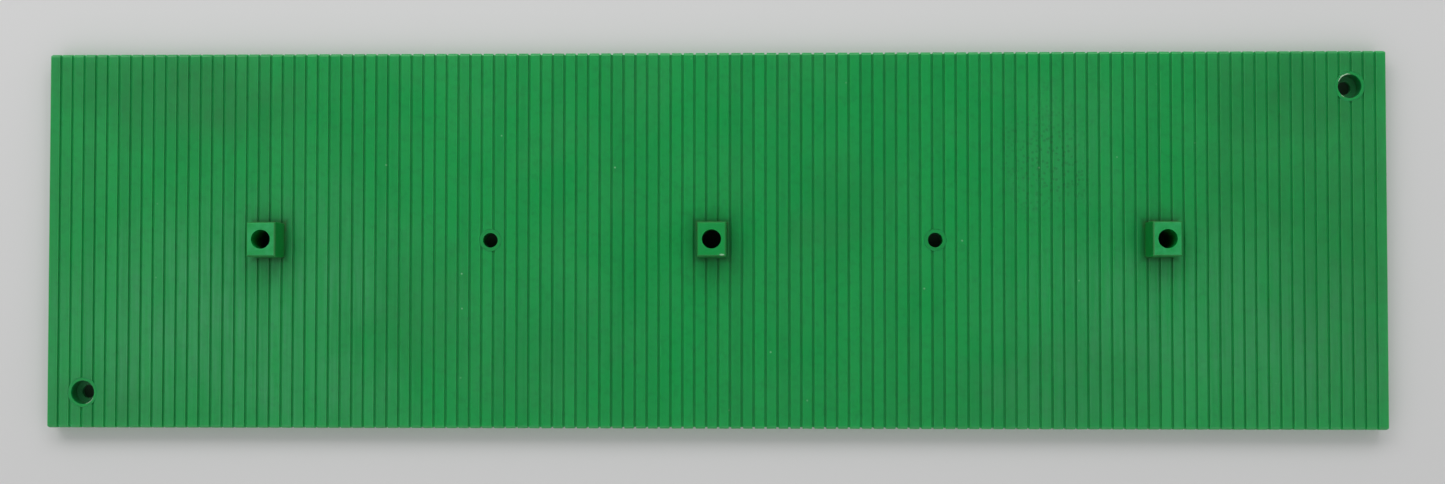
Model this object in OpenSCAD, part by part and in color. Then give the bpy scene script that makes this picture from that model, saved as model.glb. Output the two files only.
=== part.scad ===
// Grooved slide plate with three bored guide blocks.
// X runs along the plate, Y across it, Z up out of the grooved face.
// The origin is the centre of the flat underside.

/* [Plate] */
// Length of the plate
plate_length = 451.2; // [340:0.2:700]
// Width of the plate, over the ends of the ribs
plate_width = 127; // [70:0.5:220]
// Thickness from the underside to the tops of the ribs
plate_thickness = 6; // [5.6:0.1:14]
// Radius of the plate's four corners, seen from above
plate_corner_radius = 1; // [0.5:0.1:3]
// Radius that rounds the ends of the ribs over, along both long edges
rib_end_radius = 1.1; // [0.3:0.1:1.6]
// Bevel round the bottom of both long sides
bottom_bevel = 0.4; // [0.1:0.1:1]

/* [Grooves] */
// Distance from one groove to the next
groove_pitch = 4; // [3:0.1:8]
// Width of a groove
groove_width = 0.8; // [0.4:0.1:1.6]
// Depth of a groove below the tops of the ribs
groove_depth = 0.6; // [0.4:0.1:1.6]
// Depth of the same groove where it runs down the long sides
side_groove_depth = 0.6; // [0.2:0.1:1.2]
// Bevel on the edges of each rib
rib_bevel = 0.15; // [0.05:0.05:0.3]
// Narrowest rib that may be left at each end
end_rib_min = 2.0; // [1:0.1:2.5]

/* [Guide blocks] */
// Distance from the centre block to each outer block
block_spacing = 150; // [100:1:160]
// Length of a block's top, along the plate
block_length = 9.6; // [8.4:0.1:16]
// Width of a block's top, across the plate
block_width = 11.5; // [9:0.1:20]
// Height of a block above the ribs
block_height = 9; // [4:0.1:20]
// Angle by which each side of a block leans in
block_draft = 1.5; // [0:0.1:3]
// Bevel round a block's top
block_top_bevel = 0.5; // [0.2:0.1:0.8]
// Radius of a block's upright corners
block_corner_radius = 0.9; // [0.3:0.1:1.5]
// Bore down through a block, for a 6 mm rod
block_bore = 6.4; // [4:0.1:6.6]
// Depth that the block's foot is let into the plate
block_seat_depth = 2.4; // [1.8:0.1:3]
// Wall of the round spigot below the foot
spigot_wall = 1.2; // [0.8:0.1:1.8]

/* [Plain holes] */
// Distance from the plate's centre to each plain hole
bush_offset = 75; // [40:1:85]
// Bore of the flanged bush that lines a plain hole
bush_bore = 5; // [3:0.1:8]
// Wall of the bush below its flange
bush_wall = 0.8; // [0.6:0.1:2]
// Width by which the flange stands out past the wall
bush_flange = 0.4; // [0.3:0.1:1.5]
// Thickness of the flange
bush_flange_depth = 2.4; // [1.6:0.1:3]

/* [Corner screws] */
// Distance from a screw's centre to the end of the plate
screw_end_inset = 12; // [9:0.5:24]
// Distance from a screw's centre to the long edge of the plate
screw_side_inset = 12; // [9:0.5:24]
// Recess for the head of an M4 cap screw
head_bore = 8; // [6:0.1:10]
// Depth of the recess for the head
head_depth = 4.4; // [2:0.1:4.6]
// Clearance hole for the screw's shank
shank_hole = 4.5; // [3:0.1:5.5]
// Wall of the cup round the head recess
cup_wall = 1; // [0.6:0.1:2]
// Thickness of plate left under the cup's shoulder
cup_seat_height = 0.8; // [0.6:0.1:1]
// Wall of the cup's spigot below its shoulder
cup_spigot_wall = 1.2; // [0.8:0.1:1.5]

/* [Fits] */
// Gap all round between an insert and its socket
socket_gap = 0.05; // [0.02:0.01:0.1]

/* [Hidden] */

$fn = 64;
cut = 1;                  // how far a cutter runs past the face it cuts
plate_green = [0.15, 0.51, 0.27];
block_green = [0.16, 0.57, 0.30];
insert_green = [0.14, 0.50, 0.26];

half_length = plate_length / 2;
half_width = plate_width / 2;

// Grooves lie either side of the centre rib, as many as leave a whole rib at each end.
grooves_a_side = floor((half_length - end_rib_min - groove_width / 2) / groove_pitch + 0.5);
groove_x = [for (i = [-grooves_a_side + 0.5 : grooves_a_side - 0.5]) i * groove_pitch];

block_draft_run = block_height * tan(block_draft);
block_foot_length = block_length + 2 * block_draft_run;
block_foot_width = block_width + 2 * block_draft_run;
block_foot_z = plate_thickness - block_seat_depth;
block_top_z = plate_thickness + block_height;
spigot_diameter = block_bore + 2 * spigot_wall;

bush_diameter = bush_bore + 2 * bush_wall;
bush_flange_diameter = bush_diameter + 2 * bush_flange;
bush_flange_z = plate_thickness - bush_flange_depth;

cup_diameter = head_bore + 2 * cup_wall;
cup_spigot_diameter = shank_hole + 2 * cup_spigot_wall;
head_floor_z = plate_thickness - head_depth;
screw_x = half_length - screw_end_inset;
screw_y = half_width - screw_side_inset;

// ---- Outlines of the plate ----

// The edge of one groove: down one wall, along its floor at -depth, and up the other wall.
function groove_points(x, depth) = [
    [x - groove_width / 2 - rib_bevel, 0],
    [x - groove_width / 2, -rib_bevel],
    [x - groove_width / 2, -depth],
    [x + groove_width / 2, -depth],
    [x + groove_width / 2, -rib_bevel],
    [x + groove_width / 2 + rib_bevel, 0]];

// The grooved edge from end to end, with 0 at the tops of the ribs.
function grooved_edge(depth) = [
    [-half_length, -rib_bevel],
    [-half_length + rib_bevel, 0],
    for (x = groove_x) each groove_points(x, depth),
    [half_length - rib_bevel, 0],
    [half_length, -rib_bevel]];

function lifted(points, y) = [for (p = points) [p[0], p[1] + y]];
function reversed(points) = [for (i = [len(points) - 1 : -1 : 0]) points[i]];
function flipped(points) = [for (p = reversed(points)) [p[0], -p[1]]];

// Seen from the long side: grooved above, flat below.
module side_outline() {
    polygon(concat([[-half_length, 0]],
                   lifted(grooved_edge(groove_depth), plate_thickness),
                   [[half_length, 0]]));
}

// Seen from above: grooved along both long edges.
module plan_outline() {
    polygon(concat(lifted(grooved_edge(side_groove_depth), half_width),
                   lifted(flipped(grooved_edge(side_groove_depth)), -half_width)));
}

// Seen from the end: the rib ends are rounded over above and bevelled below.
module end_form() {
    shoulder_z = plate_thickness - rib_end_radius;
    inner_width = plate_width - 2 * rib_end_radius;
    run = plate_length + 2 * cut;
    translate([-run / 2, 0, 0])
        rotate([90, 0, 90]) {
            linear_extrude(run)
                polygon([[-half_width + bottom_bevel, 0], [half_width - bottom_bevel, 0],
                         [half_width, bottom_bevel], [half_width, shoulder_z],
                         [-half_width, shoulder_z], [-half_width, bottom_bevel]]);
            translate([-inner_width / 2, shoulder_z - cut, 0])
                cube([inner_width, rib_end_radius + cut, run]);
            for (side = [-1, 1])
                translate([side * inner_width / 2, shoulder_z, 0])
                    cylinder(r = rib_end_radius, h = run);
        }
}

// What is taken off one corner of the plate to round it.
module corner_cutter() {
    radius = plate_corner_radius;
    translate([half_length - radius, half_width - radius, -cut])
        difference() {
            cube([radius + cut, radius + cut, plate_thickness + 2 * cut]);
            cylinder(r = radius, h = plate_thickness + 2 * cut);
        }
}

// ---- Places of the inserts ----

module at_block(i) { translate([i * block_spacing, 0, 0]) children(); }
module at_bush(i) { translate([i * bush_offset, 0, 0]) children(); }
module at_screw(i) { translate([i * screw_x, i * screw_y, 0]) children(); }

// ---- Guide blocks ----

// Upright prism with rounded corners, grown all round by gap.
module rounded_prism(length, width, height, radius, gap = 0) {
    core_length = length - 2 * radius;
    core_width = width - 2 * radius;
    grown = radius + gap;
    translate([-core_length / 2 - grown, -core_width / 2, 0])
        cube([core_length + 2 * grown, core_width, height]);
    translate([-core_length / 2, -core_width / 2 - grown, 0])
        cube([core_length, core_width + 2 * grown, height]);
    for (sx = [-1, 1], sy = [-1, 1])
        translate([sx * core_length / 2, sy * core_width / 2, 0])
            cylinder(r = grown, h = height);
}

// Wedge-sided slab whose faces lean in above the ribs and are bevelled at the top.
module leaning_slab(foot, top, span) {
    bevel_foot = top + 2 * block_top_bevel * tan(block_draft);
    bevel_foot_z = block_top_z - block_top_bevel;
    flat = top - 2 * block_top_bevel;
    rotate([90, 0, 0])
        translate([0, 0, -span / 2])
            linear_extrude(span)
                polygon([[-foot / 2, 0], [foot / 2, 0], [foot / 2, plate_thickness],
                         [bevel_foot / 2, bevel_foot_z], [flat / 2, block_top_z],
                         [-flat / 2, block_top_z], [-bevel_foot / 2, bevel_foot_z],
                         [-foot / 2, plate_thickness]]);
}

module guide_block() {
    span = block_foot_length + block_foot_width;
    difference() {
        union() {
            intersection() {
                translate([0, 0, block_foot_z])
                    rounded_prism(block_foot_length, block_foot_width,
                                  block_seat_depth + block_height, block_corner_radius);
                leaning_slab(block_foot_length, block_length, span);
                rotate([0, 0, 90]) leaning_slab(block_foot_width, block_width, span);
            }
            cylinder(d = spigot_diameter, h = block_foot_z + cut);
        }
        translate([0, 0, -cut])
            cylinder(d = block_bore, h = block_top_z + 2 * cut);
    }
}

module block_socket() {
    translate([0, 0, -cut])
        cylinder(d = spigot_diameter + 2 * socket_gap, h = plate_thickness + 2 * cut);
    translate([0, 0, block_foot_z])
        rounded_prism(block_foot_length, block_foot_width,
                      block_seat_depth + cut, block_corner_radius, socket_gap);
}

// ---- Plain bushes ----

module plain_bush() {
    difference() {
        union() {
            cylinder(d = bush_diameter, h = plate_thickness);
            translate([0, 0, bush_flange_z])
                cylinder(d = bush_flange_diameter, h = bush_flange_depth);
        }
        translate([0, 0, -cut])
            cylinder(d = bush_bore, h = plate_thickness + 2 * cut);
    }
}

module bush_socket() {
    translate([0, 0, -cut])
        cylinder(d = bush_diameter + 2 * socket_gap, h = plate_thickness + 2 * cut);
    translate([0, 0, bush_flange_z])
        cylinder(d = bush_flange_diameter + 2 * socket_gap, h = bush_flange_depth + cut);
}

// ---- Screw cups ----

module screw_cup() {
    difference() {
        union() {
            cylinder(d = cup_spigot_diameter, h = cup_seat_height + cut);
            translate([0, 0, cup_seat_height])
                cylinder(d = cup_diameter, h = plate_thickness - cup_seat_height);
        }
        translate([0, 0, head_floor_z])
            cylinder(d = head_bore, h = head_depth + cut);
        translate([0, 0, -cut])
            cylinder(d = shank_hole, h = plate_thickness + 2 * cut);
    }
}

module cup_socket() {
    translate([0, 0, -cut])
        cylinder(d = cup_spigot_diameter + 2 * socket_gap, h = plate_thickness + 2 * cut);
    translate([0, 0, cup_seat_height])
        cylinder(d = cup_diameter + 2 * socket_gap, h = plate_thickness + cut);
}

// ---- Sub-parts ----

module deck_plate() {
    color(plate_green)
        difference() {
            intersection() {
                translate([0, half_width + cut, 0])
                    rotate([90, 0, 0])
                        linear_extrude(plate_width + 2 * cut) side_outline();
                translate([0, 0, -cut])
                    linear_extrude(plate_thickness + 2 * cut) plan_outline();
                end_form();
            }
            for (x = [0, 1], y = [0, 1])
                mirror([x, 0, 0]) mirror([0, y, 0]) corner_cutter();
            for (i = [-1 : 1]) at_block(i) block_socket();
            for (i = [-1, 1]) at_bush(i) bush_socket();
            for (i = [-1, 1]) at_screw(i) cup_socket();
        }
}

module guide_block_left() { color(block_green) at_block(-1) guide_block(); }
module guide_block_centre() { color(block_green) at_block(0) guide_block(); }
module guide_block_right() { color(block_green) at_block(1) guide_block(); }
module plain_bush_left() { color(insert_green) at_bush(-1) plain_bush(); }
module plain_bush_right() { color(insert_green) at_bush(1) plain_bush(); }
module screw_cup_near_left() { color(insert_green) at_screw(-1) screw_cup(); }
module screw_cup_far_right() { color(insert_green) at_screw(1) screw_cup(); }

deck_plate();
guide_block_left();
guide_block_centre();
guide_block_right();
plain_bush_left();
plain_bush_right();
screw_cup_near_left();
screw_cup_far_right();
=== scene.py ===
"""A long grooved slide plate of green polyethylene, with bored guide blocks, plain bushes and screw cups."""
import math

import bmesh
import bpy
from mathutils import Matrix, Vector


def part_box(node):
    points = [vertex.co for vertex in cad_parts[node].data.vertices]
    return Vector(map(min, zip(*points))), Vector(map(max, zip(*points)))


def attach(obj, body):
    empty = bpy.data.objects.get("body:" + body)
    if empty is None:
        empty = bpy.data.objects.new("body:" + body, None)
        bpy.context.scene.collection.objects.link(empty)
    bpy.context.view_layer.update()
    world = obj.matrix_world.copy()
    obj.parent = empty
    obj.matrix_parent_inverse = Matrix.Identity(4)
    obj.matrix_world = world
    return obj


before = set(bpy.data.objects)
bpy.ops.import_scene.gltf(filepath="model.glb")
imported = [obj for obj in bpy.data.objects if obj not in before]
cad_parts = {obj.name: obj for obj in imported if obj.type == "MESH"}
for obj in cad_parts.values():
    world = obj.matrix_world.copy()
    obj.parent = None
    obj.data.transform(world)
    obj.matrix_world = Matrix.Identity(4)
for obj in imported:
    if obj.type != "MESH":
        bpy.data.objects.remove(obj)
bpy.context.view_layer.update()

MM = 0.001


def mm(*values):
    return Vector([v * MM for v in values])


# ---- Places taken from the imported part, and the few sizes that its frame does not give ----

BLOCKS = ("guide_block_left", "guide_block_centre", "guide_block_right")
BUSHES = ("plain_bush_left", "plain_bush_right")
CUPS = ("screw_cup_near_left", "screw_cup_far_right")

plate_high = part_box("deck_plate")[1]
block_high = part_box("guide_block_centre")[1]
RIB_TOP = plate_high.z
BLOCK_TOP = block_high.z
BLOCK_HALF_LENGTH = block_high.x
BLOCK_HALF_WIDTH = block_high.y
BLOCK_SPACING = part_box("guide_block_right")[1].x - block_high.x
GROOVE_PITCH = 4 * MM
CUP_BORE = 4 * MM                # radius of the recess that takes a cap screw's head
RECESS_DEPTH = 4.4 * MM          # from the ribs down to the cup's shoulder
POLYETHYLENE_IOR = 1.51


# ---- Camera: looking straight down from about half a metre, leaning a touch to one side ----

LENS_TO_WIDTH = 1350 / 1445     # focal length as a share of the picture's width
SENSOR = 36.0
VIEW_SHIFT = 33 / 1445           # how far the picture is moved up, as a share of its width


def make_camera():
    data = bpy.data.cameras.new("overhead_camera")
    data.sensor_width = SENSOR
    data.lens = SENSOR * LENS_TO_WIDTH
    data.shift_y = VIEW_SHIFT
    data.clip_start = 0.01
    data.clip_end = 20
    camera = bpy.data.objects.new("overhead_camera", data)
    bpy.context.scene.collection.objects.link(camera)
    camera.location = mm(11.765, -21.2, 460.52)
    camera.rotation_euler = (0.0208, 0.01819, 0.00027)
    bpy.context.scene.camera = camera


make_camera()


# ---- Colour and node helpers ----

def linear(hex_colour, alpha=1.0):
    """An sRGB hex colour as linear values."""
    channels = []
    for i in (0, 2, 4):
        c = int(hex_colour[i:i + 2], 16) / 255
        channels.append(c / 12.92 if c <= 0.04045 else ((c + 0.055) / 1.055) ** 2.4)
    return (*channels, alpha)


def add(tree, kind, inputs=None, **settings):
    """Adds one node, sets it up, and feeds its inputs from values or from other nodes' outputs."""
    node = tree.nodes.new(kind)
    for name, value in settings.items():
        setattr(node, name, value)
    for key, value in (inputs or {}).items():
        socket = node.inputs[key]
        if isinstance(value, bpy.types.NodeSocket):
            tree.links.new(value, socket)
        else:
            socket.default_value = value
    return node


def new_material(name):
    material = bpy.data.materials.new(name)
    material.use_nodes = True
    material.node_tree.nodes.clear()
    return material, material.node_tree


def dress(node_names, material):
    for name in node_names:
        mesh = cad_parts[name].data
        for i in range(len(mesh.materials)):
            mesh.materials[i] = material


# ---- Layers of wear, dirt and painted light and shade, each worked out from where a point lies on the part ----

def layer(tree, colour, mask, hex_colour):
    """Lays one colour over another where the mask is high."""
    return add(tree, "ShaderNodeMix", {0: mask, 6: colour, 7: linear(hex_colour)},
               data_type="RGBA").outputs[2]


def upper_face(tree, up):
    """One on the plate's grooved side and nothing on its underside, which gets neither the dirt nor the
    painted shade.
    """
    return add(tree, "ShaderNodeMath", {0: up, 1: RIB_TOP / 2}, operation="GREATER_THAN").outputs[0]


def groove_dust(tree, place, along, across, up):
    """Grime settled in the grooves, more in some stretches than in others, with none on the sides."""
    low_down = add(tree, "ShaderNodeMapRange", {
        "Value": up, "From Min": RIB_TOP - 0.05 * MM, "From Max": RIB_TOP - 0.35 * MM}).outputs[0]
    from_middle = add(tree, "ShaderNodeMath", {0: across}, operation="ABSOLUTE").outputs[0]
    inside = add(tree, "ShaderNodeMath", {0: from_middle, 1: plate_high.y - 0.9 * MM},
                 operation="LESS_THAN").outputs[0]
    from_centre = add(tree, "ShaderNodeMath", {0: along}, operation="ABSOLUTE").outputs[0]
    off_ends = add(tree, "ShaderNodeMath", {0: from_centre, 1: plate_high.x - 1.0 * MM},
                   operation="LESS_THAN").outputs[0]
    patches = add(tree, "ShaderNodeTexNoise", {
        "Vector": place, "Scale": 1 / (14 * MM), "Detail": 3.0}).outputs[0]
    amount = add(tree, "ShaderNodeMapRange", {
        "Value": patches, "From Min": 0.35, "From Max": 0.7, "To Min": 0.0, "To Max": 0.12}).outputs[0]
    mask = low_down
    for part in (inside, off_ends, upper_face(tree, up), amount):
        mask = add(tree, "ShaderNodeMath", {0: mask, 1: part}, operation="MULTIPLY").outputs[0]
    return mask


def distance_from_blocks(tree, along, across):
    """How far a point lies outside the nearest block's foot, in metres."""
    wrapped = add(tree, "ShaderNodeMath", {0: along, 1: BLOCK_SPACING / 2, 2: -BLOCK_SPACING / 2},
                  operation="WRAP").outputs[0]
    sides = []
    for coordinate, half in ((wrapped, BLOCK_HALF_LENGTH), (across, BLOCK_HALF_WIDTH)):
        size = add(tree, "ShaderNodeMath", {0: coordinate}, operation="ABSOLUTE").outputs[0]
        sides.append(add(tree, "ShaderNodeMath", {0: size, 1: half}, operation="SUBTRACT").outputs[0])
    return add(tree, "ShaderNodeMath", {0: sides[0], 1: sides[1]}, operation="MAXIMUM").outputs[0]


def ragged_oval_patch(tree, place, centre, half_size, degrees, strength):
    """A soft oval patch, ragged at its edge, as hands and cloths leave; also used for the patches of painted
    sheen and to bound a patch of spots.
    """
    ragged = add(tree, "ShaderNodeTexNoise", {"Vector": place, "Scale": 1 / (16 * MM), "Detail": 3.0})
    shift = add(tree, "ShaderNodeVectorMath", {0: ragged.outputs["Color"], 1: (0.5, 0.5, 0.5)},
                operation="SUBTRACT").outputs[0]
    shift = add(tree, "ShaderNodeVectorMath", {0: shift, 3: 26 * MM}, operation="SCALE").outputs[0]
    spot = add(tree, "ShaderNodeVectorMath", {0: place, 1: shift}, operation="ADD").outputs[0]
    local = add(tree, "ShaderNodeMapping", {
        "Vector": spot, "Location": mm(*centre, 0), "Rotation": (0, 0, math.radians(degrees)),
        "Scale": mm(*half_size, 1000)}, vector_type="TEXTURE").outputs[0]
    away = add(tree, "ShaderNodeVectorMath", {0: local}, operation="LENGTH").outputs["Value"]
    return add(tree, "ShaderNodeMapRange", {
        "Value": away, "From Min": 0.15, "From Max": 1.0, "To Min": strength, "To Max": 0.0},
        interpolation_type="SMOOTHSTEP").outputs[0]


# Centre (mm), half size (mm), turn (degrees) and strength of each patch: greasy, dark ones first, then pale
# patches of painted sheen, which stand in for the shine of the lamps. Both lie on the rib tops only.
GREASY_SMUDGES = (
    ((-180, 50), (62, 26), -8, 0.60),
    ((-214, 56), (38, 26), 0, 0.45),
    ((-98, -26), (34, 30), 60, 0.40),
    ((-60, -38), (40, 26), 25, 0.30),
    ((44, 9), (28, 20), 70, 0.42),
    ((110, -50), (66, 26), 12, 0.35),
    ((186, 12), (42, 34), -40, 0.45),
    ((206, -30), (34, 44), 10, 0.50),
    ((200, 48), (60, 34), 5, 0.65),
    # This broad patch and the last one darken both ends of the plate as a whole.
    ((228, -6), (80, 110), 0, 0.55),
    ((-212, -54), (34, 20), 0, 0.45),
    ((-236, 10), (40, 90), 0, 0.30),
)
PAINTED_SHEEN_PATCHES = (
    ((-165, -22), (92, 50), 20, 0.22),
    ((-216, -25), (22, 22), 0, 0.12),
    ((160, -28), (100, 46), -12, 0.17),
    ((-142, -50), (60, 26), 0, 0.17),
    ((118, 26), (36, 36), 0, 0.08),
    ((120, -50), (56, 22), 0, 0.12),
    ((-60, -30), (60, 40), 0, 0.06),
)


def combined_patches(tree, place, patches):
    """All the patches together, the strongest one counting where two meet."""
    total = None
    for centre, half_size, degrees, strength in patches:
        one = ragged_oval_patch(tree, place, centre, half_size, degrees, strength)
        if total is None:
            total = one
        else:
            total = add(tree, "ShaderNodeMath", {0: total, 1: one}, operation="MAXIMUM").outputs[0]
    return total


def spatter(tree, place, centre, half_size, spacing, share, spot_share, seed):
    """Small round spots, about spacing apart, inside a ragged oval patch."""
    patch = ragged_oval_patch(tree, place, centre, half_size, 0, 1.0)
    cells = add(tree, "ShaderNodeTexVoronoi", {
        "Vector": add(tree, "ShaderNodeVectorMath", {0: place, 1: mm(seed, seed, 0)}).outputs[0],
        "Scale": 1 / (spacing * MM)}, voronoi_dimensions="2D")
    spots = add(tree, "ShaderNodeMapRange", {
        "Value": cells.outputs["Distance"], "From Min": spot_share, "From Max": spot_share * 0.45}).outputs[0]
    lot = add(tree, "ShaderNodeSeparateColor", {"Color": cells.outputs["Color"]}).outputs[0]
    drawn = add(tree, "ShaderNodeMath", {0: lot, 1: share}, operation="LESS_THAN").outputs[0]
    mask = add(tree, "ShaderNodeMath", {0: spots, 1: drawn}, operation="MULTIPLY").outputs[0]
    return add(tree, "ShaderNodeMath", {0: mask, 1: patch}, operation="MULTIPLY").outputs[0]


# ---- High-density polyethylene, injection moulded: waxy and satin, and light creeps in at its edges ----

def polyethylene_shader(tree, colour, roughness, bump):
    shader = add(tree, "ShaderNodeBsdfPrincipled", {
        "Base Color": colour, "Roughness": roughness, "Normal": bump, "IOR": POLYETHYLENE_IOR,
        "Subsurface Weight": 0.5, "Subsurface Radius": (0.35, 1.0, 0.5), "Subsurface Scale": 2.2 * MM})
    add(tree, "ShaderNodeOutputMaterial", {"Surface": shader.outputs["BSDF"]})


def moulded_grain(tree, place, height):
    """The fine orange peel of a moulded face, about 0.6 mm from one bump to the next."""
    grain = add(tree, "ShaderNodeTexNoise", {
        "Vector": place, "Scale": 1 / (0.6 * MM), "Detail": 2.0}).outputs[0]
    return add(tree, "ShaderNodeMath", {0: grain, 1: height}, operation="MULTIPLY").outputs[0]


def satin(tree, place, low, high):
    """Roughness that drifts over about 20 mm, where the face has been rubbed more or less."""
    drift = add(tree, "ShaderNodeTexNoise", {
        "Vector": place, "Scale": 1 / (20 * MM), "Detail": 5.0}).outputs[0]
    return add(tree, "ShaderNodeMapRange", {
        "Value": drift, "From Min": 0.35, "From Max": 0.65, "To Min": low, "To Max": high}).outputs[0]


def plate_polyethylene():
    """The grooved plate: dull where it is rubbed, grimy in its grooves and at the blocks' feet, with painted
    shade round the blocks, a painted glow at its edges and painted sheen in pale patches.
    """
    material, tree = new_material("moulded polyethylene, grooved plate")
    place = add(tree, "ShaderNodeTexCoord").outputs["Object"]
    axes = add(tree, "ShaderNodeSeparateXYZ", {0: place})
    along, across, up = axes.outputs[0], axes.outputs[1], axes.outputs[2]

    # Each rib cooled a little differently, so its green is a shade off its neighbours'.
    rib = add(tree, "ShaderNodeMath", {0: along, 1: GROOVE_PITCH}, operation="DIVIDE").outputs[0]
    rib = add(tree, "ShaderNodeMath", {0: rib}, operation="ROUND").outputs[0]
    shade = add(tree, "ShaderNodeTexWhiteNoise", {"W": rib}, noise_dimensions="1D").outputs["Value"]
    colour = add(tree, "ShaderNodeMix", {0: shade, 6: linear("0B9C4A"), 7: linear("0B9145")},
                 data_type="RGBA").outputs[2]

    # Pigment flow: long faint streaks along each rib.
    flow = add(tree, "ShaderNodeMapping", {
        "Vector": place, "Scale": (1 / (1.1 * MM), 1 / (30 * MM), 1.0)}).outputs[0]
    streaks = add(tree, "ShaderNodeTexNoise", {"Vector": flow, "Scale": 1.0, "Detail": 3.0}).outputs[0]
    streaks = add(tree, "ShaderNodeMapRange", {
        "Value": streaks, "From Min": 0.3, "From Max": 0.75, "To Max": 0.6}).outputs[0]
    colour = layer(tree, colour, streaks, "169A4D")

    # Fine handling marks, 2.5 mm across and finer.
    marks = add(tree, "ShaderNodeTexNoise", {
        "Vector": place, "Scale": 1 / (2.5 * MM), "Detail": 6.0, "Roughness": 0.7}).outputs[0]
    marks = add(tree, "ShaderNodeMapRange", {
        "Value": marks, "From Min": 0.48, "From Max": 0.72, "To Max": 0.4}).outputs[0]
    colour = layer(tree, colour, marks, "0E783B")

    film = combined_patches(tree, place, GREASY_SMUDGES)
    mottle = add(tree, "ShaderNodeTexNoise", {
        "Vector": place, "Scale": 1 / (9 * MM), "Detail": 6.0}).outputs[0]
    mottle = add(tree, "ShaderNodeMapRange", {
        "Value": mottle, "From Min": 0.3, "From Max": 0.7, "To Min": 0.5, "To Max": 1.0}).outputs[0]
    rib_tops = add(tree, "ShaderNodeMapRange", {
        "Value": up, "From Min": RIB_TOP - 0.3 * MM, "From Max": RIB_TOP - 0.05 * MM}).outputs[0]
    for part in (mottle, rib_tops):
        film = add(tree, "ShaderNodeMath", {0: film, 1: part}, operation="MULTIPLY").outputs[0]
    colour = layer(tree, colour, film, "1C743A")

    # Painted sheen: pale patches on the rib tops stand in for the shine of the lamps, broken into streaks
    # along the ribs.
    painted_sheen = combined_patches(tree, place, PAINTED_SHEEN_PATCHES)
    sheen_streaking = add(tree, "ShaderNodeMapRange", {
        "Value": streaks, "From Min": 0.0, "From Max": 0.6, "To Min": 0.35, "To Max": 1.5}).outputs[0]
    for part in (mottle, sheen_streaking, rib_tops):
        painted_sheen = add(tree, "ShaderNodeMath", {0: painted_sheen, 1: part}, operation="MULTIPLY").outputs[0]
    colour = layer(tree, colour, painted_sheen, "6CA58C")

    # Painted glow: the last few millimetres inside the plate's outer faces are painted lighter, standing in
    # for light that creeps in through them.
    inward = []
    for coordinate, half in ((along, plate_high.x), (across, plate_high.y)):
        size = add(tree, "ShaderNodeMath", {0: coordinate}, operation="ABSOLUTE").outputs[0]
        inward.append(add(tree, "ShaderNodeMath", {0: half, 1: size}, operation="SUBTRACT").outputs[0])
    rim = add(tree, "ShaderNodeMath", {0: inward[0], 1: inward[1]}, operation="MINIMUM").outputs[0]
    rim = add(tree, "ShaderNodeMapRange", {
        "Value": rim, "From Min": 0.0, "From Max": 4.5 * MM, "To Min": 0.12, "To Max": 0.0},
        interpolation_type="SMOOTHSTEP").outputs[0]
    colour = layer(tree, colour, rim, "2DB562")

    # A patch of fine pits right of the middle, and a few pale flecks all over.
    spots = spatter(tree, place, (112, 26), (20, 32), 1.7, 0.7, 0.36, 0)
    faint_spots = add(tree, "ShaderNodeMath", {0: spots, 1: 0.45}, operation="MULTIPLY").outputs[0]
    colour = layer(tree, colour, faint_spots, "1A6A38")
    flecks = spatter(tree, place, (0, 0), (260, 90), 13.0, 0.08, 0.028, 7.3)
    colour = layer(tree, colour, flecks, "8FC59A")

    colour = layer(tree, colour, groove_dust(tree, place, along, across, up), "0C4A22")

    # Round each block: painted shade reaching about 6 mm out and a darker painted shadow close in at the
    # foot, both where the block shades the plate, and crumbs of grime against the foot.
    grooved_side = upper_face(tree, up)
    beyond = distance_from_blocks(tree, along, across)
    painted_block_shade = add(tree, "ShaderNodeMapRange", {
        "Value": beyond, "From Min": 0.0, "From Max": 6 * MM, "To Min": 0.35, "To Max": 0.0},
        interpolation_type="SMOOTHSTEP").outputs[0]
    painted_block_shade = add(tree, "ShaderNodeMath", {0: painted_block_shade, 1: grooved_side}, operation="MULTIPLY").outputs[0]
    colour = layer(tree, colour, painted_block_shade, "0E6A34")
    painted_foot_shadow = add(tree, "ShaderNodeMapRange", {
        "Value": beyond, "From Min": 0.3 * MM, "From Max": 2.0 * MM, "To Min": 0.55, "To Max": 0.0},
        interpolation_type="SMOOTHSTEP").outputs[0]
    painted_foot_shadow = add(tree, "ShaderNodeMath", {0: painted_foot_shadow, 1: grooved_side},
                       operation="MULTIPLY").outputs[0]
    colour = layer(tree, colour, painted_foot_shadow, "00521E")
    crumbs = add(tree, "ShaderNodeTexNoise", {
        "Vector": place, "Scale": 1 / (1.2 * MM), "Detail": 4.0}).outputs[0]
    crumbs = add(tree, "ShaderNodeMapRange", {
        "Value": crumbs, "From Min": 0.45, "From Max": 0.70, "To Min": 0.08, "To Max": 0.75}).outputs[0]
    foot = add(tree, "ShaderNodeMapRange", {
        "Value": beyond, "From Min": 0.15 * MM, "From Max": 1.0 * MM,
        "To Min": 1.0, "To Max": 0.0}).outputs[0]
    far_side = add(tree, "ShaderNodeMapRange", {
        "Value": across, "From Min": -2 * MM, "From Max": BLOCK_HALF_WIDTH,
        "To Min": 0.05, "To Max": 0.9}).outputs[0]
    for part in (crumbs, far_side, grooved_side):
        foot = add(tree, "ShaderNodeMath", {0: foot, 1: part}, operation="MULTIPLY").outputs[0]
    colour = layer(tree, colour, foot, "4A3B22")

    roughness = satin(tree, place, 0.33, 0.41)
    roughness = add(tree, "ShaderNodeMath", {0: film, 1: 0.05, 2: roughness},
                    operation="MULTIPLY_ADD").outputs[0]
    height = moulded_grain(tree, place, 0.010 * MM)
    height = add(tree, "ShaderNodeMath", {0: spots, 1: -0.03 * MM, 2: height},
                 operation="MULTIPLY_ADD").outputs[0]
    bump = add(tree, "ShaderNodeBump", {"Height": height, "Distance": 1.0}).outputs[0]
    polyethylene_shader(tree, colour, roughness, bump)
    return material


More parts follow.
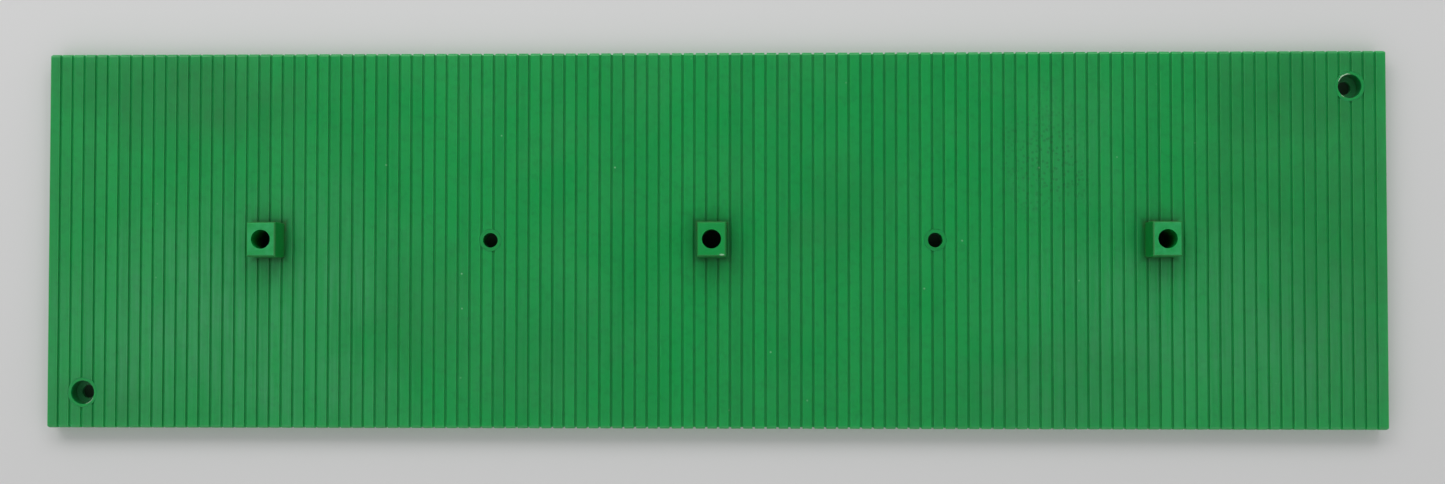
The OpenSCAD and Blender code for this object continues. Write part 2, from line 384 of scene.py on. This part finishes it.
def block_polyethylene():
    """The guide blocks: walls painted a deep green as shade and tops painted a shade brighter as light, paler
    mottled patches on the outer blocks' tops, grime at the foot and one whitened corner.
    """
    material, tree = new_material("moulded polyethylene, guide blocks")
    place = add(tree, "ShaderNodeTexCoord").outputs["Object"]
    axes = add(tree, "ShaderNodeSeparateXYZ", {0: place})
    up = axes.outputs[2]
    cloud = add(tree, "ShaderNodeTexNoise", {
        "Vector": place, "Scale": 1 / (3 * MM), "Detail": 4.0}).outputs[0]
    colour = add(tree, "ShaderNodeMix", {0: cloud, 6: linear("00742A"), 7: linear("007C2E")},
                 data_type="RGBA").outputs[2]

    # Painted light and shade: the walls are painted a deep green, as shade, and the tops paler, as light
    # falling on them; the tops of the two outer blocks are paler still, in mottled patches.
    top = add(tree, "ShaderNodeMapRange", {
        "Value": up, "From Min": BLOCK_TOP - 0.2 * MM, "From Max": BLOCK_TOP - 0.02 * MM}).outputs[0]
    colour = layer(tree, colour, top, "0D9645")
    outer = add(tree, "ShaderNodeMath", {0: axes.outputs[0]}, operation="ABSOLUTE").outputs[0]
    outer = add(tree, "ShaderNodeMapRange", {
        "Value": outer, "From Min": 0.3 * BLOCK_SPACING, "From Max": 0.7 * BLOCK_SPACING,
        "To Min": 0.1, "To Max": 0.75}).outputs[0]
    rubbed = add(tree, "ShaderNodeMapRange", {
        "Value": cloud, "From Min": 0.35, "From Max": 0.65, "To Min": 0.25, "To Max": 1.0}).outputs[0]
    for part in (outer, top):
        rubbed = add(tree, "ShaderNodeMath", {0: rubbed, 1: part}, operation="MULTIPLY").outputs[0]
    colour = layer(tree, colour, rubbed, "35AC68")

    # Bent past its limit, the plastic turns white: a chip at one corner of the middle block's top.
    chip_place = Vector((BLOCK_HALF_LENGTH - 1.6 * MM, -BLOCK_HALF_WIDTH + 0.75 * MM, BLOCK_TOP))
    away = add(tree, "ShaderNodeMapping", {
        "Vector": place, "Location": chip_place, "Scale": mm(1.0, 0.4, 0.8)},
        vector_type="TEXTURE").outputs[0]
    away = add(tree, "ShaderNodeVectorMath", {0: away}, operation="LENGTH").outputs["Value"]
    chip = add(tree, "ShaderNodeMapRange", {
        "Value": away, "From Min": 1.0, "From Max": 0.5, "To Max": 0.7}).outputs[0]
    colour = layer(tree, colour, chip, "B5DDBB")

    crumbs = add(tree, "ShaderNodeTexNoise", {
        "Vector": place, "Scale": 1 / (1.5 * MM), "Detail": 3.0}).outputs[0]
    crumbs = add(tree, "ShaderNodeMapRange", {
        "Value": crumbs, "From Min": 0.4, "From Max": 0.65, "To Min": 0.05, "To Max": 0.5}).outputs[0]
    foot = add(tree, "ShaderNodeMapRange", {
        "Value": up, "From Min": RIB_TOP, "From Max": RIB_TOP + 1.5 * MM,
        "To Min": 1.0, "To Max": 0.0}).outputs[0]
    foot = add(tree, "ShaderNodeMath", {0: foot, 1: crumbs}, operation="MULTIPLY").outputs[0]
    colour = layer(tree, colour, foot, "4A3B22")

    height = moulded_grain(tree, place, 0.012 * MM)
    bump = add(tree, "ShaderNodeBump", {"Height": height, "Distance": 1.0}).outputs[0]
    polyethylene_shader(tree, colour, satin(tree, place, 0.31, 0.39), bump)
    return material


def insert_polyethylene():
    """The bushes and cups: the plate's green on top, painted a deep green inside as shade in the holes, and
    painted paler again from the cups' shoulders down.
    """
    material, tree = new_material("moulded polyethylene, bushes and cups")
    place = add(tree, "ShaderNodeTexCoord").outputs["Object"]
    cloud = add(tree, "ShaderNodeTexNoise", {
        "Vector": place, "Scale": 1 / (4 * MM), "Detail": 4.0}).outputs[0]
    colour = add(tree, "ShaderNodeMix", {0: cloud, 6: linear("0C8E43"), 7: linear("0F9147")},
                 data_type="RGBA").outputs[2]
    up = add(tree, "ShaderNodeSeparateXYZ", {0: place}).outputs[2]
    # Painted shade: below the rib tops the bores and recesses are painted a deep green.
    inside = add(tree, "ShaderNodeMapRange", {
        "Value": up, "From Min": RIB_TOP - 0.1 * MM, "From Max": RIB_TOP - 1.2 * MM}).outputs[0]
    colour = layer(tree, colour, inside, "045A25")
    # Painted light: from the cups' shoulders down the green is painted paler, for the lit shoulders.
    painted_shoulder_light = add(tree, "ShaderNodeMapRange", {
        "Value": up, "From Min": RIB_TOP - RECESS_DEPTH + 0.2 * MM,
        "From Max": RIB_TOP - RECESS_DEPTH, "To Max": 0.8}).outputs[0]
    colour = layer(tree, colour, painted_shoulder_light, "2A8A50")
    height = moulded_grain(tree, place, 0.012 * MM)
    bump = add(tree, "ShaderNodeBump", {"Height": height, "Distance": 1.0}).outputs[0]
    polyethylene_shader(tree, colour, satin(tree, place, 0.34, 0.42), bump)
    return material


dress(["deck_plate"], plate_polyethylene())
dress(BLOCKS, block_polyethylene())
dress(BUSHES + CUPS, insert_polyethylene())


# ---- Moulded edges are never sharp: a small round on every edge of the blocks, bushes and cups ----

def round_edges(node_names, radius):
    for name in node_names:
        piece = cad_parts[name]
        weld = piece.modifiers.new("join_faces", "WELD")
        weld.merge_threshold = 0.002 * MM
        bevel = piece.modifiers.new("rounded_edges", "BEVEL")
        bevel.width = radius
        bevel.segments = 3
        bevel.limit_method = "ANGLE"
        bevel.angle_limit = math.radians(30)


round_edges(BLOCKS, 0.32 * MM)
round_edges(BUSHES + CUPS, 0.05 * MM)


# ---- Thin torn lips, which the counterboring tool left standing on the rims of the two cups ----

def torn_lip_polyethylene():
    """Torn plastic: whitened by the stress, rough and dull."""
    material, tree = new_material("torn polyethylene, rim lips")
    place = add(tree, "ShaderNodeTexCoord").outputs["Object"]
    cloud = add(tree, "ShaderNodeTexNoise", {
        "Vector": place, "Scale": 1 / (0.8 * MM), "Detail": 3.0}).outputs[0]
    colour = add(tree, "ShaderNodeMix", {0: cloud, 6: linear("5FA873"), 7: linear("C9DFC6")},
                 data_type="RGBA").outputs[2]
    bump = add(tree, "ShaderNodeBump", {
        "Height": moulded_grain(tree, place, 0.03 * MM), "Distance": 1.0}).outputs[0]
    shader = add(tree, "ShaderNodeBsdfPrincipled", {
        "Base Color": colour, "Roughness": 0.6, "Normal": bump, "IOR": POLYETHYLENE_IOR})
    add(tree, "ShaderNodeOutputMaterial", {"Surface": shader.outputs["BSDF"]})
    return material


def torn_lip(name, cup, start, end, width, material):
    """A low ridge along part of a cup's rim, from one angle to another in degrees, thickest in the middle."""
    low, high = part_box(cup)
    centre = (low + high) / 2
    sunk = 0.03 * MM
    steps = 40
    mesh = bpy.data.meshes.new(name)
    shape = bmesh.new()
    rings = []
    for i in range(steps + 1):
        share = i / steps
        angle = math.radians(start + (end - start) * share)
        swell = math.sin(math.pi * share) ** 0.7
        ragged = 1 + 0.22 * math.sin(17 * share + start) + 0.15 * math.sin(41 * share)
        spread = (0.04 * MM + width * swell * ragged)
        height = 0.02 * MM + 0.3 * width * swell * ragged
        section = ((CUP_BORE, high.z - sunk),
                   (CUP_BORE + spread, high.z - sunk),
                   (CUP_BORE + 0.55 * spread, high.z + height),
                   (CUP_BORE + 0.02 * MM, high.z + 0.8 * height))
        rings.append([shape.verts.new((centre.x + r * math.cos(angle), centre.y + r * math.sin(angle), z))
                      for r, z in section])
    for here, there in zip(rings, rings[1:]):
        for k in range(4):
            shape.faces.new((here[k], here[(k + 1) % 4], there[(k + 1) % 4], there[k]))
    shape.faces.new(reversed(rings[0]))
    shape.faces.new(rings[-1])
    bmesh.ops.recalc_face_normals(shape, faces=shape.faces)
    shape.to_mesh(mesh)
    shape.free()
    for face in mesh.polygons:
        face.use_smooth = True
    mesh.materials.append(material)
    lip = bpy.data.objects.new(name, mesh)
    bpy.context.scene.collection.objects.link(lip)
    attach(lip, "root")


torn_white = torn_lip_polyethylene()
for lip_name, cup_name, from_angle, to_angle, lip_width in (
        ("torn_lip_far_right", "screw_cup_far_right", 86, 158, 0.42 * MM),
        ("torn_lip_far_right_short", "screw_cup_far_right", 222, 246, 0.16 * MM),
        ("torn_lip_near_left", "screw_cup_near_left", -75, -25, 0.16 * MM)):
    torn_lip(lip_name, cup_name, from_angle, to_angle, lip_width, torn_white)


# ---- Table and light ----

def make_table():
    """A plain pale table, painted dark as shade where the plate covers it, so the through-holes look down on
    dark.
    """
    mesh = bpy.data.meshes.new("table_top")
    reach = 6.0
    mesh.from_pydata([(-reach, -reach, 0), (reach, -reach, 0), (reach, reach, 0), (-reach, reach, 0)],
                     [], [(0, 1, 2, 3)])
    table = bpy.data.objects.new("table_top", mesh)
    bpy.context.scene.collection.objects.link(table)
    material, tree = new_material("table top, painted dark under the plate")
    place = add(tree, "ShaderNodeTexCoord").outputs["Object"]
    axes = add(tree, "ShaderNodeSeparateXYZ", {0: place})
    painted_shade_under_plate = None
    for coordinate, half in ((axes.outputs[0], plate_high.x), (axes.outputs[1], plate_high.y)):
        size = add(tree, "ShaderNodeMath", {0: coordinate}, operation="ABSOLUTE").outputs[0]
        inside = add(tree, "ShaderNodeMath", {0: size, 1: half - 3 * MM}, operation="LESS_THAN").outputs[0]
        painted_shade_under_plate = inside if painted_shade_under_plate is None else add(
            tree, "ShaderNodeMath", {0: painted_shade_under_plate, 1: inside}, operation="MULTIPLY").outputs[0]
    colour = add(tree, "ShaderNodeMix", {0: painted_shade_under_plate, 6: linear("D5D5D5"), 7: linear("183C22")},
                 data_type="RGBA").outputs[2]
    shader = add(tree, "ShaderNodeBsdfPrincipled", {"Base Color": colour, "Roughness": 0.6})
    add(tree, "ShaderNodeOutputMaterial", {"Surface": shader.outputs["BSDF"]})
    mesh.materials.append(material)


def area_light(name, place, aim, size, watts, colour="FFFFFF"):
    data = bpy.data.lights.new(name, "AREA")
    data.shape = "RECTANGLE"
    data.size, data.size_y = size
    data.energy = watts
    data.color = linear(colour)[:3]
    lamp = bpy.data.objects.new(name, data)
    bpy.context.scene.collection.objects.link(lamp)
    lamp.location = place
    lamp.rotation_euler = (Vector(aim) - Vector(place)).to_track_quat("-Z", "Y").to_euler()


DARK_CORE = math.radians(18)     # the overhead patch is darkest inside this angle
DARK_EDGE = math.radians(45)     # and has faded out at this one


def make_light():
    """A pale room all round, dark straight overhead, with a long softbox behind the plate's far edge.

    The dark patch above keeps the holes dark and lets the ribs shine only towards the plate's ends."""
    world = bpy.data.worlds.new("room")
    bpy.context.scene.world = world
    world.use_nodes = True
    tree = world.node_tree
    towards = add(tree, "ShaderNodeTexCoord").outputs["Generated"]
    overhead = Vector((0.0, 0.25, 1.0)).normalized()
    nearness = add(tree, "ShaderNodeVectorMath", {0: towards, 1: overhead},
                   operation="DOT_PRODUCT").outputs["Value"]
    open_sky = add(tree, "ShaderNodeMapRange", {
        "Value": nearness, "From Min": math.cos(DARK_CORE), "From Max": math.cos(DARK_EDGE),
        "To Min": 0.04, "To Max": 1.0}, interpolation_type="SMOOTHSTEP").outputs[0]
    height = add(tree, "ShaderNodeSeparateXYZ", {0: towards}).outputs[2]
    walls = add(tree, "ShaderNodeMapRange", {
        "Value": height, "From Min": 0.0, "From Max": 0.35, "To Min": 0.3, "To Max": 0.88}).outputs[0]
    glow = add(tree, "ShaderNodeMath", {0: open_sky, 1: walls}, operation="MULTIPLY").outputs[0]
    background = tree.nodes["Background"]
    background.inputs["Color"].default_value = linear("FFFFFF")
    tree.links.new(glow, background.inputs["Strength"])
    plate_middle = (0, 0, 0)
    area_light("far softbox", (-0.12, 0.70, 0.62), plate_middle, (1.4, 0.4), 5.0)


make_table()
make_light()
bpy.context.scene.view_settings.view_transform = "Standard"
